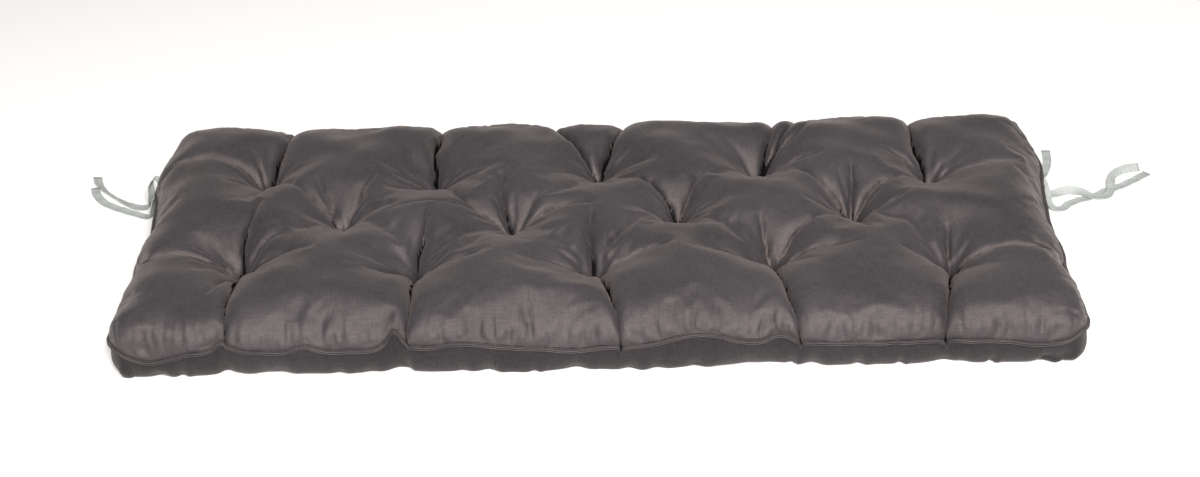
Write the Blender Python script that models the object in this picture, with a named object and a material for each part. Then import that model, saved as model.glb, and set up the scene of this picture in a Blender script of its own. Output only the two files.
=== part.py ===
"""Two-seat bench cushion, tufted, lying on its back on the floor, with its tape ties.

The filled body is one solid: a top panel that swells between tufted pits and is cut by folds,
a bottom panel that lies flat, and drawn-in sides that meet at one seam. A welt stands out of
that seam all round. Flat tapes leave the seam at the two back corners and lie on the floor.
Metres, +Z up, +Y to the cushion's back edge, origin under the middle of the body.
"""

import math

import bmesh
import bpy
import numpy as np

# Driving dimensions of the body
HALF_LENGTH = 0.600  # seam line, along X
HALF_DEPTH = 0.254  # seam line, along Y
CORNER_RADIUS = 0.045  # seam line, in plan
SEAM_HEIGHT = 0.047
CROWN_HEIGHT = 0.094  # top of a plain puff
TOP_SHOULDER = 0.070  # how far in from the seam the top takes to reach its crown
FOOT_INSET = 0.024  # how far in from the seam the bottom meets the floor

# Tufts: a pit in the top, a shallow dimple in the bottom
PIT_DEPTH = 0.047
PIT_REACH = 0.034
DIMPLE_DEPTH = 0.012
DIMPLE_REACH = 0.020

# Body mesh: distances of the close lines from the seam, and the even cell between them
EDGE_LINES = (0.0, 0.0020, 0.0080, 0.0180, 0.0320, 0.0480)
CELL = 0.0182

# Welt round the seam, and the space that keeps two pieces apart
WELT_WIDTH = 0.0042
WELT_THICKNESS = 0.0016
GAP = 0.0004

# Tape ties
TAPE_WIDTH = 0.012
TAPE_THICKNESS = 0.0010
TAPE_STEP = 0.008

# name, x, y
TUFTS = (
    ("back_1", -0.450, 0.118),
    ("back_2", -0.218, 0.104),
    ("back_3", 0.001, 0.120),
    ("back_4", 0.218, 0.123),
    ("back_5", 0.448, 0.101),
    ("middle_1", -0.335, 0.011),
    ("middle_2", -0.110, -0.007),
    ("middle_3", 0.106, 0.008),
    ("middle_4", 0.337, 0.010),
    ("front_1", -0.455, -0.093),
    ("front_2", -0.231, -0.103),
    ("front_3", -0.002, -0.112),
    ("front_4", 0.224, -0.094),
    ("front_5", 0.448, -0.109),
)

# Folds of the top panel: the tuft each starts from, its heading in degrees from +X, reach,
# depth, half width, sideways bow, and whether it fades out on the panel or runs to the seam
FOLDS = (
    ("back_1", 80, 0.14, 0.024, 0.011, 0.000, "runs"),
    ("back_1", -96, 0.08, 0.012, 0.009, 0.000, "fades"),
    ("back_1", 176, 0.15, 0.010, 0.012, -0.016, "fades"),
    ("back_2", 90, 0.15, 0.022, 0.011, 0.005, "runs"),
    ("back_2", -62, 0.11, 0.007, 0.011, 0.000, "fades"),
    ("back_3", 74, 0.14, 0.024, 0.010, 0.000, "runs"),
    ("back_3", 118, 0.14, 0.014, 0.010, 0.000, "runs"),
    ("back_3", -5, 0.08, 0.007, 0.011, 0.008, "fades"),
    ("back_4", 78, 0.14, 0.020, 0.010, -0.005, "runs"),
    ("back_4", 58, 0.13, 0.014, 0.010, -0.006, "fades"),
    ("back_4", -5, 0.09, 0.010, 0.011, 0.002, "fades"),
    ("back_5", 94, 0.15, 0.022, 0.011, 0.006, "runs"),
    ("back_5", 154, 0.08, 0.008, 0.011, -0.012, "fades"),
    ("back_5", 1, 0.15, 0.012, 0.012, -0.004, "fades"),
    ("middle_1", 137, 0.10, 0.016, 0.011, 0.000, "fades"),
    ("middle_1", 69, 0.11, 0.012, 0.010, -0.004, "fades"),
    ("middle_1", -2, 0.08, 0.008, 0.011, 0.012, "fades"),
    ("middle_2", 180, 0.17, 0.008, 0.012, -0.020, "fades"),
    ("middle_2", 148, 0.09, 0.016, 0.010, 0.006, "fades"),
    ("middle_2", 100, 0.10, 0.018, 0.010, 0.005, "fades"),
    ("middle_2", 2, 0.11, 0.014, 0.011, 0.016, "fades"),
    ("middle_3", 133, 0.11, 0.018, 0.010, -0.012, "fades"),
    ("middle_3", 63, 0.09, 0.014, 0.010, 0.003, "fades"),
    ("middle_4", 130, 0.11, 0.014, 0.010, 0.000, "fades"),
    ("middle_4", 88, 0.09, 0.014, 0.010, 0.000, "fades"),
    ("middle_4", 42, 0.09, 0.010, 0.010, 0.007, "fades"),
    ("middle_4", 4, 0.08, 0.010, 0.011, -0.010, "fades"),
    ("middle_4", -88, 0.10, 0.009, 0.011, 0.000, "fades"),
    ("front_1", 84, 0.11, 0.020, 0.010, 0.012, "fades"),
    ("front_1", -178, 0.15, 0.013, 0.012, -0.005, "fades"),
    ("front_1", -88, 0.17, 0.022, 0.011, 0.001, "runs"),
    ("front_1", -5, 0.10, 0.008, 0.012, 0.009, "fades"),
    ("front_2", 82, 0.11, 0.020, 0.010, 0.000, "fades"),
    ("front_2", -150, 0.07, 0.012, 0.010, 0.000, "fades"),
    ("front_2", -8, 0.09, 0.014, 0.011, -0.002, "fades"),
    ("front_2", -88, 0.17, 0.026, 0.010, 0.000, "runs"),
    ("front_3", 92, 0.10, 0.020, 0.010, 0.004, "fades"),
    ("front_3", -175, 0.06, 0.012, 0.010, 0.000, "fades"),
    ("front_3", 6, 0.10, 0.014, 0.011, 0.004, "fades"),
    ("front_3", -81, 0.17, 0.020, 0.010, 0.004, "runs"),
    ("front_4", 103, 0.07, 0.013, 0.010, 0.000, "fades"),
    ("front_4", 44, 0.10, 0.013, 0.010, 0.004, "fades"),
    ("front_4", -6, 0.11, 0.012, 0.011, 0.004, "fades"),
    ("front_4", -168, 0.08, 0.012, 0.011, 0.000, "fades"),
    ("front_4", -86, 0.18, 0.024, 0.010, 0.006, "runs"),
    ("front_5", 178, 0.07, 0.011, 0.010, 0.003, "fades"),
    ("front_5", 90, 0.06, 0.012, 0.010, 0.000, "fades"),
    ("front_5", -5, 0.13, 0.014, 0.011, 0.008, "fades"),
    ("front_5", -98, 0.17, 0.021, 0.011, 0.000, "runs"),
)

# Puffs that stand taller or lie lower than the crown: x, y, height added, reach
PUFFS = (
    (-0.530, 0.165, 0.010, 0.060),
    (-0.330, 0.150, -0.006, 0.080),
    (-0.120, 0.150, -0.008, 0.080),
    (0.300, 0.160, 0.006, 0.060),
    (0.560, 0.150, -0.004, 0.060),
    (-0.350, -0.170, 0.004, 0.070),
    (-0.110, -0.180, 0.002, 0.080),
    (0.120, -0.170, 0.006, 0.070),
    (0.340, -0.175, -0.004, 0.070),
    (0.220, 0.010, 0.005, 0.060),
)

# Seam line: side of the body, place along it, how far it is pulled in, how far it rises,
# and the half width of that stretch
SEAM_PLEATS = (
    ("front", -0.590, 0.000, 0.008, 0.014),
    ("front", -0.540, 0.000, -0.012, 0.030),
    ("front", -0.452, 0.006, 0.016, 0.012),
    ("front", -0.352, 0.000, 0.010, 0.016),
    ("front", -0.243, 0.009, 0.024, 0.013),
    ("front", -0.160, 0.000, 0.009, 0.045),
    ("front", -0.030, 0.004, -0.007, 0.030),
    ("front", 0.125, 0.000, 0.018, 0.045),
    ("front", 0.222, 0.006, 0.010, 0.020),
    ("front", 0.421, 0.007, -0.008, 0.010),
    ("front", 0.535, 0.000, -0.008, 0.030),
    ("front", 0.592, 0.000, 0.011, 0.014),
    ("back", -0.436, 0.008, 0.008, 0.016),
    ("back", -0.330, 0.003, -0.004, 0.040),
    ("back", -0.220, 0.007, 0.006, 0.014),
    ("back", -0.015, 0.010, 0.010, 0.024),
    ("back", 0.110, 0.002, -0.004, 0.040),
    ("back", 0.243, 0.007, 0.008, 0.020),
    ("back", 0.437, 0.008, 0.006, 0.014),
    ("left", 0.120, 0.007, 0.006, 0.020),
    ("left", 0.010, 0.004, -0.005, 0.030),
    ("left", -0.100, 0.006, 0.005, 0.018),
    ("right", 0.105, 0.007, 0.005, 0.018),
    ("right", 0.000, 0.003, -0.004, 0.030),
    ("right", -0.115, 0.007, 0.006, 0.020),
)
PLEAT_DRAW = 0.050  # how far into the panel a pull-in carries
PLEAT_RISE_DRAW = 0.018  # how far into the panel a rise of the seam carries

# Where the bottom tucks further under, or less: side, place, added inset, half width
FOOT_TUCKS = (
    ("front", -0.450, 0.014, 0.012),
    ("front", -0.395, 0.012, 0.025),
    ("front", -0.240, 0.012, 0.014),
    ("front", -0.080, -0.012, 0.040),
    ("front", 0.040, -0.006, 0.040),
    ("front", 0.190, 0.018, 0.035),
    ("front", 0.262, 0.014, 0.010),
    ("front", 0.446, 0.015, 0.010),
    ("back", -0.436, 0.014, 0.014),
    ("back", -0.015, 0.016, 0.020),
    ("back", 0.243, 0.014, 0.016),
    ("left", 0.110, 0.012, 0.016),
    ("left", -0.100, 0.012, 0.016),
    ("right", 0.100, 0.012, 0.016),
    ("right", -0.110, 0.012, 0.016),
)

# Ties: points of the tape's middle line as x, y, z, and how far the tape leans on its edge,
# in degrees. Each starts at the seam, drops to the floor and lies there to its free end.
TIES = {
    "tie_left_a": (
        (-0.6065, 0.1500, 0.0500, 0),
        (-0.6110, 0.1510, 0.0560, 0),
        (-0.6165, 0.1520, 0.0560, 0),
        (-0.6205, 0.1530, 0.0480, 0),
        (-0.6225, 0.1540, 0.0360, 0),
        (-0.6240, 0.1550, 0.0240, 0),
        (-0.6270, 0.1570, 0.0130, 0),
        (-0.6350, 0.1600, 0.0050, 0),
        (-0.6470, 0.1635, 0.0030, 0),
        (-0.6600, 0.1700, 0.0032, 12),
        (-0.6740, 0.1795, 0.0045, 32),
        (-0.6880, 0.1915, 0.0052, 42),
        (-0.7010, 0.2045, 0.0052, 42),
        (-0.7120, 0.2190, 0.0050, 34),
        (-0.7190, 0.2330, 0.0042, 20),
        (-0.7240, 0.2480, 0.0040, 14),
    ),
    "tie_left_b": (
        (-0.6065, 0.1260, 0.0450, 0),
        (-0.6110, 0.1270, 0.0400, 0),
        (-0.6145, 0.1285, 0.0300, 0),
        (-0.6170, 0.1300, 0.0190, 0),
        (-0.6210, 0.1330, 0.0090, 0),
        (-0.6290, 0.1380, 0.0024, 0),
        (-0.6400, 0.1445, 0.0009, 0),
        (-0.6530, 0.1510, 0.0009, 0),
        (-0.6660, 0.1580, 0.0009, 0),
        (-0.6790, 0.1655, 0.0009, 0),
        (-0.6910, 0.1735, 0.0009, 0),
        (-0.7020, 0.1835, 0.0009, 0),
        (-0.7110, 0.1955, 0.0009, 0),
        (-0.7180, 0.2090, 0.0009, 0),
        (-0.7215, 0.2220, 0.0009, 0),
    ),
    "tie_right_a": (
        (0.6065, 0.1280, 0.0440, 0),
        (0.6110, 0.1255, 0.0380, 0),
        (0.6145, 0.1230, 0.0280, 0),
        (0.6170, 0.1205, 0.0170, 0),
        (0.6210, 0.1175, 0.0075, 0),
        (0.6290, 0.1150, 0.0018, 0),
        (0.6400, 0.1200, 0.0009, 0),
        (0.6490, 0.1300, 0.0009, 0),
        (0.6620, 0.1380, 0.0009, 0),
        (0.6770, 0.1440, 0.0009, 0),
        (0.6910, 0.1510, 0.0009, 0),
        (0.7040, 0.1610, 0.0009, 0),
        (0.7180, 0.1680, 0.0009, 0),
        (0.7330, 0.1770, 0.0009, 0),
        (0.7480, 0.1880, 0.0009, 0),
        (0.7620, 0.1990, 0.0009, 0),
        (0.7740, 0.2090, 0.0009, 0),
    ),
    "tie_right_b": (
        (0.6065, 0.1530, 0.0440, 0),
        (0.6110, 0.1520, 0.0380, 0),
        (0.6145, 0.1505, 0.0280, 0),
        (0.6175, 0.1495, 0.0170, 0),
        (0.6215, 0.1490, 0.0080, 0),
        (0.6300, 0.1510, 0.0040, 10),
        (0.6420, 0.1560, 0.0052, 36),
        (0.6560, 0.1590, 0.0056, 40),
        (0.6700, 0.1560, 0.0046, 14),
        (0.6820, 0.1470, 0.0032, 0),
        (0.6950, 0.1430, 0.0032, 0),
        (0.7065, 0.1490, 0.0032, 0),
        (0.7130, 0.1630, 0.0034, 0),
        (0.7165, 0.1800, 0.0056, 24),
        (0.7235, 0.1960, 0.0066, 56),
        (0.7360, 0.2080, 0.0068, 72),
        (0.7510, 0.2150, 0.0064, 60),
        (0.7640, 0.2190, 0.0050, 36),
    ),
    "tie_back_right": (
        (0.6065, 0.1850, 0.0430, 0),
        (0.6110, 0.1865, 0.0370, 0),
        (0.6145, 0.1885, 0.0270, 0),
        (0.6170, 0.1915, 0.0160, 0),
        (0.6205, 0.1965, 0.0070, 0),
        (0.6260, 0.2060, 0.0016, 0),
        (0.6320, 0.2190, 0.0009, 0),
        (0.6370, 0.2330, 0.0009, 0),
        (0.6410, 0.2480, 0.0009, 0),
        (0.6430, 0.2630, 0.0009, 0),
        (0.6440, 0.2780, 0.0009, 0),
    ),
}

# Colours, as linear RGB, with roughness
CLOTH_TOP = (0.100, 0.088, 0.086, 0.55)
CLOTH_WELT = (0.085, 0.076, 0.074, 0.55)
TAPE_CLOTH = (0.520, 0.560, 0.550, 0.80)


def grid_lines(half):
    """Places of the mesh lines across the body: close near the seam, even in the middle."""
    inner = half - EDGE_LINES[-1]
    middle = np.linspace(-inner, inner, round(2 * inner / CELL) + 1)
    near_seam = half - np.array(EDGE_LINES[:-1])
    return np.concatenate([-near_seam, middle, near_seam[::-1]])


def round_corners(x, y):
    """The square corners of the grid bent to arcs of the corner radius."""
    over_x = (np.abs(x) - (HALF_LENGTH - CORNER_RADIUS)) / CORNER_RADIUS
    over_y = (np.abs(y) - (HALF_DEPTH - CORNER_RADIUS)) / CORNER_RADIUS
    corner = (over_x > 0) & (over_y > 0)
    a = np.where(corner, over_x, 0.0)
    b = np.where(corner, over_y, 0.0)
    bent_x = HALF_LENGTH - CORNER_RADIUS + CORNER_RADIUS * a * np.sqrt(1 - b * b / 2)
    bent_y = HALF_DEPTH - CORNER_RADIUS + CORNER_RADIUS * b * np.sqrt(1 - a * a / 2)
    return (
        np.where(corner, np.sign(x) * bent_x, x),
        np.where(corner, np.sign(y) * bent_y, y),
    )


def seam_distance(x, y):
    """Distance in from the rounded seam line."""
    over_x = np.abs(x) - (HALF_LENGTH - CORNER_RADIUS)
    over_y = np.abs(y) - (HALF_DEPTH - CORNER_RADIUS)
    corner = (over_x > 0) & (over_y > 0)
    straight = CORNER_RADIUS - np.maximum(over_x, over_y)
    round_part = CORNER_RADIUS - np.hypot(over_x, over_y)
    return np.maximum(np.where(corner, round_part, straight), 0.0)


def along_and_away(side, x, y):
    """Place along a side of the body, and distance in from that side's seam."""
    return {
        "front": (x, HALF_DEPTH + y),
        "back": (x, HALF_DEPTH - y),
        "left": (y, HALF_LENGTH + x),
        "right": (y, HALF_LENGTH - x),
    }[side]


def inward(side):
    return {"front": (0, 1), "back": (0, -1), "left": (1, 0), "right": (-1, 0)}[side]


def bell(offset, reach):
    return np.exp(-((offset / reach) ** 2))


def cusp(offset, reach):
    """A sharp valley that widens upwards, as cloth does beside a stitch or a fold."""
    return np.exp(-np.abs(offset) / reach)


def rounded_edge(distance, reach):
    """0 at the seam to 1 at the reach and past it, along a quarter of an ellipse."""
    t = np.clip(1 - distance / reach, 0, 1)
    return np.sqrt(1 - t * t)


def pull_in(x, y):
    """The plan drawn in at each pleat of the seam."""
    new_x, new_y = x.copy(), y.copy()
    for side, place, inset, _, reach in SEAM_PLEATS:
        along, away = along_and_away(side, x, y)
        step = inset * bell(along - place, reach + 0.012) * np.exp(-away / PLEAT_DRAW)
        new_x += inward(side)[0] * step
        new_y += inward(side)[1] * step
    return new_x, new_y


def seam_height(x, y):
    """Height of the seam, carried a little way into the panels."""
    height = np.full_like(x, SEAM_HEIGHT)
    for side, place, _, rise, reach in SEAM_PLEATS:
        along, away = along_and_away(side, x, y)
        height += rise * bell(along - place, reach) * np.exp(-away / PLEAT_RISE_DRAW)
    return height


def tuft_place(name):
    return next((x, y) for tuft, x, y in TUFTS if tuft == name)


def fold_depth(x, y, start, heading, reach, depth, width, bow, end):
    """Depth of one fold: a bowed valley from its tuft along its heading."""
    start_x, start_y = tuft_place(start)
    cos_h, sin_h = math.cos(math.radians(heading)), math.sin(math.radians(heading))
    forward = (x - start_x) * cos_h + (y - start_y) * sin_h
    share = np.clip(forward / reach, 0, 1)
    sideways = (y - start_y) * cos_h - (x - start_x) * sin_h - 4 * bow * share * (1 - share)
    past_end = np.maximum(np.maximum(-forward, forward - reach), 0)
    fade = (1 - share) ** 0.7 if end == "fades" else 1 - 0.35 * share
    return depth * fade * cusp(np.hypot(sideways, past_end), width)


def top_height(x, y, distance):
    """The top panel: crown, puffs, pits and folds, coming down to the seam at its edge."""
    seam = seam_height(x, y)
    crown = np.full_like(x, CROWN_HEIGHT)
    for puff_x, puff_y, rise, reach in PUFFS:
        crown += rise * bell(np.hypot(x - puff_x, y - puff_y), reach)
    hollow = np.zeros_like(x)
    for _, tuft_x, tuft_y in TUFTS:
        hollow = np.maximum(hollow, PIT_DEPTH * cusp(np.hypot(x - tuft_x, y - tuft_y), PIT_REACH))
    folds = [fold_depth(x, y, *row) for row in FOLDS]
    hollow += np.max(folds, axis=0) * (1 - hollow / PIT_DEPTH)
    return seam + (crown - seam - hollow) * rounded_edge(distance, TOP_SHOULDER)


def bottom_height(x, y, distance):
    """The bottom panel: flat on the floor, with dimples at the tufts, curling up to the seam."""
    inset = np.full_like(x, FOOT_INSET)
    for side, place, tuck, reach in FOOT_TUCKS:
        along, away = along_and_away(side, x, y)
        inset += tuck * bell(along - place, reach) * np.exp(-away / PLEAT_DRAW)
    height = seam_height(x, y) * (1 - rounded_edge(distance, inset))
    for _, tuft_x, tuft_y in TUFTS:
        away = np.hypot(x - tuft_x, y - tuft_y) / DIMPLE_REACH
        height += DIMPLE_DEPTH * np.clip(1 - (away / 1.6) ** 2, 0, 1) ** 2
    return height


def snap_to_tufts(x, y):
    """The grid point nearest each tuft moved onto it, so that each pit has its lowest point."""
    for _, tuft_x, tuft_y in TUFTS:
        nearest = np.unravel_index(np.argmin(np.hypot(x - tuft_x, y - tuft_y)), x.shape)
        x[nearest], y[nearest] = tuft_x, tuft_y


def body_grid():
    """Plan places of the body's mesh points, and their distance in from the seam."""
    x, y = np.meshgrid(grid_lines(HALF_LENGTH), grid_lines(HALF_DEPTH), indexing="ij")
    x, y = round_corners(x, y)
    snap_to_tufts(x, y)
    return x, y, seam_distance(x, y)


def material(name, colour):
    made = bpy.data.materials.new(name)
    made.use_nodes = True
    shader = made.node_tree.nodes["Principled BSDF"]
    shader.inputs["Base Color"].default_value = (*colour[:3], 1.0)
    shader.inputs["Roughness"].default_value = colour[3]
    shader.inputs["Metallic"].default_value = 0.0
    return made


def add_object(name, mesh_builder, cloth):
    """A bmesh made into a smooth-shaded object with its material."""
    mesh_builder.normal_update()
    mesh = bpy.data.meshes.new(name)
    mesh_builder.to_mesh(mesh)
    mesh_builder.free()
    mesh.materials.append(cloth)
    mesh.shade_smooth()
    placed = bpy.data.objects.new(name, mesh)
    bpy.context.scene.collection.objects.link(placed)
    return placed


def ring_of(grid):
    """The border of a grid, in order, anticlockwise from the front left corner."""
    return np.concatenate([grid[:-1, 0], grid[-1, :-1], grid[:0:-1, -1], grid[0, :0:-1]])


def build_body(cloth):
    """Top and bottom panels on one grid, sharing the points of the seam."""
    x, y, distance = body_grid()
    top = top_height(x, y, distance)
    bottom = bottom_height(x, y, distance)
    drawn_x, drawn_y = pull_in(x, y)
    made = bmesh.new()
    rows, columns = x.shape
    upper, lower = {}, {}
    for i in range(rows):
        for j in range(columns):
            place = (drawn_x[i, j], drawn_y[i, j])
            upper[i, j] = made.verts.new((*place, top[i, j]))
            on_seam = i in (0, rows - 1) or j in (0, columns - 1)
            lower[i, j] = upper[i, j] if on_seam else made.verts.new((*place, bottom[i, j]))
    for i in range(rows - 1):
        for j in range(columns - 1):
            corners = ((i, j), (i + 1, j), (i + 1, j + 1), (i, j + 1))
            made.faces.new([upper[c] for c in corners])
            made.faces.new([lower[c] for c in reversed(corners)])
    bmesh.ops.triangulate(made, faces=made.faces[:], quad_method="SHORT_EDGE")
    seam = np.stack([ring_of(g) for g in (drawn_x, drawn_y, top)], axis=1)
    return add_object("cushion", made, cloth), seam


def outward_steps(seam):
    """Horizontal step from each seam point to a line one unit further out, mitred."""
    ahead = np.roll(seam, -1, axis=0)[:, :2] - seam[:, :2]
    ahead /= np.linalg.norm(ahead, axis=1, keepdims=True)
    normal = np.stack([ahead[:, 1], -ahead[:, 0]], axis=1)
    middle = normal + np.roll(normal, 1, axis=0)
    middle /= np.linalg.norm(middle, axis=1, keepdims=True)
    return middle / np.sum(middle * normal, axis=1, keepdims=True)


def build_welt(seam, cloth):
    """A flat ridge of doubled cloth that stands out of the seam all the way round."""
    steps = outward_steps(seam)
    half = WELT_THICKNESS / 2
    section = ((GAP, -half), (GAP + WELT_WIDTH, -half), (GAP + WELT_WIDTH, half), (GAP, half))
    made = bmesh.new()
    rings = []
    for point, step in zip(seam, steps):
        ring = [(*(point[:2] + step * out), point[2] + up) for out, up in section]
        rings.append([made.verts.new(corner) for corner in ring])
    join_rings(made, rings + rings[:1])
    bmesh.ops.recalc_face_normals(made, faces=made.faces[:])
    return add_object("seam_welt", made, cloth)


def join_rings(made, rings):
    """Quads between each ring and the next."""
    count = len(rings[0])
    for near, far in zip(rings, rings[1:]):
        for k in range(count):
            after = (k + 1) % count
            made.faces.new((near[k], near[after], far[after], far[k]))


def smooth_route(rows):
    """The tie's points as a smooth line with even steps: x, y, z and lean."""
    points = np.array(rows, float)
    padded = np.vstack([2 * points[0] - points[1], points, 2 * points[-1] - points[-2]])
    share = np.linspace(0, 1, 8, endpoint=False)[:, None]
    line = []
    for a, b, c, d in zip(padded, padded[1:], padded[2:], padded[3:]):
        line.append(
            0.5
            * (
                2 * b
                + (c - a) * share
                + (2 * a - 5 * b + 4 * c - d) * share**2
                + (3 * b - a - 3 * c + d) * share**3
            )
        )
    line = np.vstack([*line, points[-1:]])
    lengths = np.linalg.norm(np.diff(line[:, :3], axis=0), axis=1)
    run = np.concatenate([[0.0], np.cumsum(lengths)])
    stops = np.linspace(0, run[-1], round(run[-1] / TAPE_STEP) + 1)
    return np.stack([np.interp(stops, run, line[:, k]) for k in range(4)], axis=1)


def build_tie(name, rows, cloth):
    """A flat tape swept along its route, level across its width except where it leans."""
    route = smooth_route(rows)
    forward = np.gradient(route[:, :3], axis=0)
    forward /= np.linalg.norm(forward, axis=1, keepdims=True)
    level = np.cross([0.0, 0.0, 1.0], forward)
    level /= np.linalg.norm(level, axis=1, keepdims=True)
    upright = np.cross(forward, level)
    made = bmesh.new()
    rings = []
    for point, across, up, lean in zip(route[:, :3], level, upright, route[:, 3]):
        angle = math.radians(lean)
        wide = (across * math.cos(angle) + up * math.sin(angle)) * TAPE_WIDTH / 2
        thick = (up * math.cos(angle) - across * math.sin(angle)) * TAPE_THICKNESS / 2
        corners = (point - wide - thick, point + wide - thick, point + wide + thick,
                   point - wide + thick)
        rings.append([made.verts.new(corner) for corner in corners])
    join_rings(made, rings)
    made.faces.new(rings[0])
    made.faces.new(rings[-1][::-1])
    bmesh.ops.recalc_face_normals(made, faces=made.faces[:])
    return add_object(name, made, cloth)


def build():
    for old in list(bpy.data.objects):
        bpy.data.objects.remove(old, do_unlink=True)
    panel_cloth = material("cushion_cloth", CLOTH_TOP)
    welt_cloth = material("welt_cloth", CLOTH_WELT)
    tape_cloth = material("tape_cloth", TAPE_CLOTH)
    _, seam = build_body(panel_cloth)
    build_welt(seam, welt_cloth)
    for name, rows in TIES.items():
        build_tie(name, rows, tape_cloth)


build()
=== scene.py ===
# Tufted bench cushion lying flat, with its seam welt and its tape ties.
# The body is two panels on one grid of points. The cloth solver settles the slack top panel between
# its seam and its tufts. Clefts, wrinkles and gathers are then pressed in.
import math

import bmesh
import bpy
import numpy as np
from mathutils import Matrix, Vector


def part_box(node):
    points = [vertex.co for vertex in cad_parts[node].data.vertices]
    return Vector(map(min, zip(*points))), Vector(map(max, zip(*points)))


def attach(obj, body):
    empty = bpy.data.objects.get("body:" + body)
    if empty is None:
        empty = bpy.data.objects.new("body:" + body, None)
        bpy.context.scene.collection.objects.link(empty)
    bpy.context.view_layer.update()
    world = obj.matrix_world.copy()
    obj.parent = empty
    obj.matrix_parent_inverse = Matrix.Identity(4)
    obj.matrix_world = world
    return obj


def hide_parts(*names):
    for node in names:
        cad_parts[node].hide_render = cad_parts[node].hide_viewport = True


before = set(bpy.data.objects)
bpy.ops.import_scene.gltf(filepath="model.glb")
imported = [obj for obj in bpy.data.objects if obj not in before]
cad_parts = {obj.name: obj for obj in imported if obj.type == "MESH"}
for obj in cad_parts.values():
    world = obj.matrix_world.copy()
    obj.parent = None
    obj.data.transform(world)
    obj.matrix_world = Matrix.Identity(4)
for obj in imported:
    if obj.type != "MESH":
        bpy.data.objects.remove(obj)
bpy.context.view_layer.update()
bodyLow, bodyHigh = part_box("cushion")
bpy.ops.object.select_all(action="DESELECT")
scene = bpy.context.scene
scene.view_settings.view_transform = "Standard"

body = {
    "halfLength": (bodyHigh.x - bodyLow.x) / 2,
    "halfDepth": (bodyHigh.y - bodyLow.y) / 2,
    "cornerRadius": 0.040,
    "seamHeight": 0.047,
    "crownHeight": 0.091,
    "shoulder": 0.062,      # in from the seam to the crown
    "footInset": 0.024,     # in from the seam to the floor
    "endDraw": 0.004,       # how far the seam is drawn in at both ends
    "cell": 0.0050,         # spacing of the points before they are subdivided
    "cellsAcrossShoulder": 17,
    "cellsAcrossFoot": 12,
    "weld": 0.0002,         # points of the two seams this near are joined
}

# Pits: name, x, y, depth under the crown
tufts = {
    "back1": (-0.450, 0.118, 0.046),
    "back2": (-0.218, 0.104, 0.046),
    "back3": (0.001, 0.120, 0.046),
    "back4": (0.218, 0.123, 0.046),
    "back5": (0.448, 0.101, 0.046),
    "middle1": (-0.335, 0.011, 0.047),
    "middle2": (-0.110, -0.007, 0.049),
    "middle3": (0.106, 0.008, 0.047),
    "middle4": (0.337, 0.010, 0.047),
    "front1": (-0.455, -0.093, 0.048),
    "front2": (-0.231, -0.103, 0.048),
    "front3": (-0.002, -0.112, 0.048),
    "front4": (0.224, -0.094, 0.048),
    "front5": (0.448, -0.109, 0.047),
}
hollows = {
    "pitReach": 0.034,      # of the cone at each tuft
    "tuftReach": 0.085,     # of the round shoulders about it
    "coneShare": 0.75,
    "foldWidths": 3.4,      # reach of a fold's shoulders, in its own half widths
    "fullPit": 0.050,       # folds add nothing to a hollow this deep
}

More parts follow.
